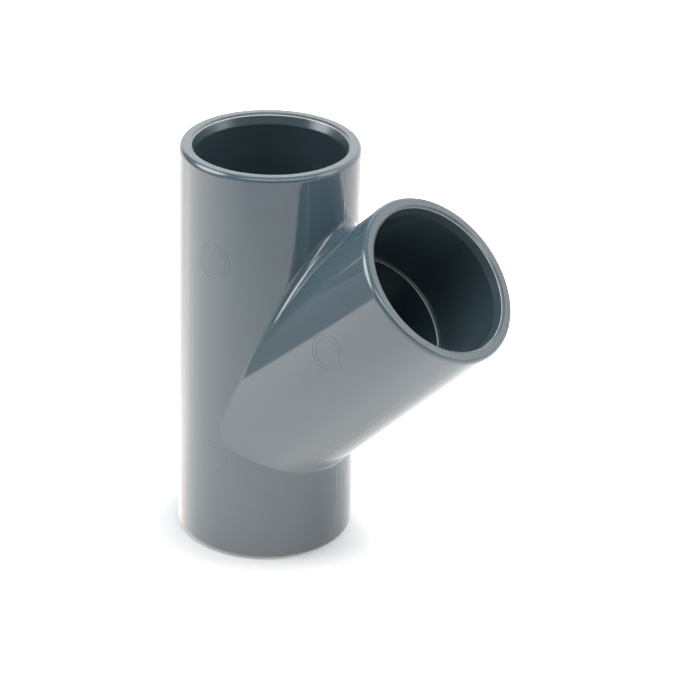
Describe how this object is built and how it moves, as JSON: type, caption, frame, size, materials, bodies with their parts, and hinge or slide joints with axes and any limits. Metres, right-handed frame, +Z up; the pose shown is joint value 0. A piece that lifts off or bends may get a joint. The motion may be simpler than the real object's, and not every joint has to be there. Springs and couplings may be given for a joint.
{
  "type": "lateral wye fitting",
  "caption": "Equal 45 degree PVC-U lateral wye with solvent-cement sockets for 63 mm pipe, dark blue-grey gloss, moulded in one piece",
  "frame": {"origin": "on the run's axis, in the plane of its lower mouth, which is the face the fitting stands on", "axes": "+Z up the run, +X the side the branch leans to, Y across the plane of the two axes; the roundels are on the -Y side"},
  "size_m": [0.1515, 0.0762, 0.179],
  "materials": {
    "pvc_u": "smooth glossy injection-moulded PVC-U, dark blue-grey"
  },
  "bodies": {
    "root": {"wye_body": "pvc_u"}
  },
  "joints": []
}
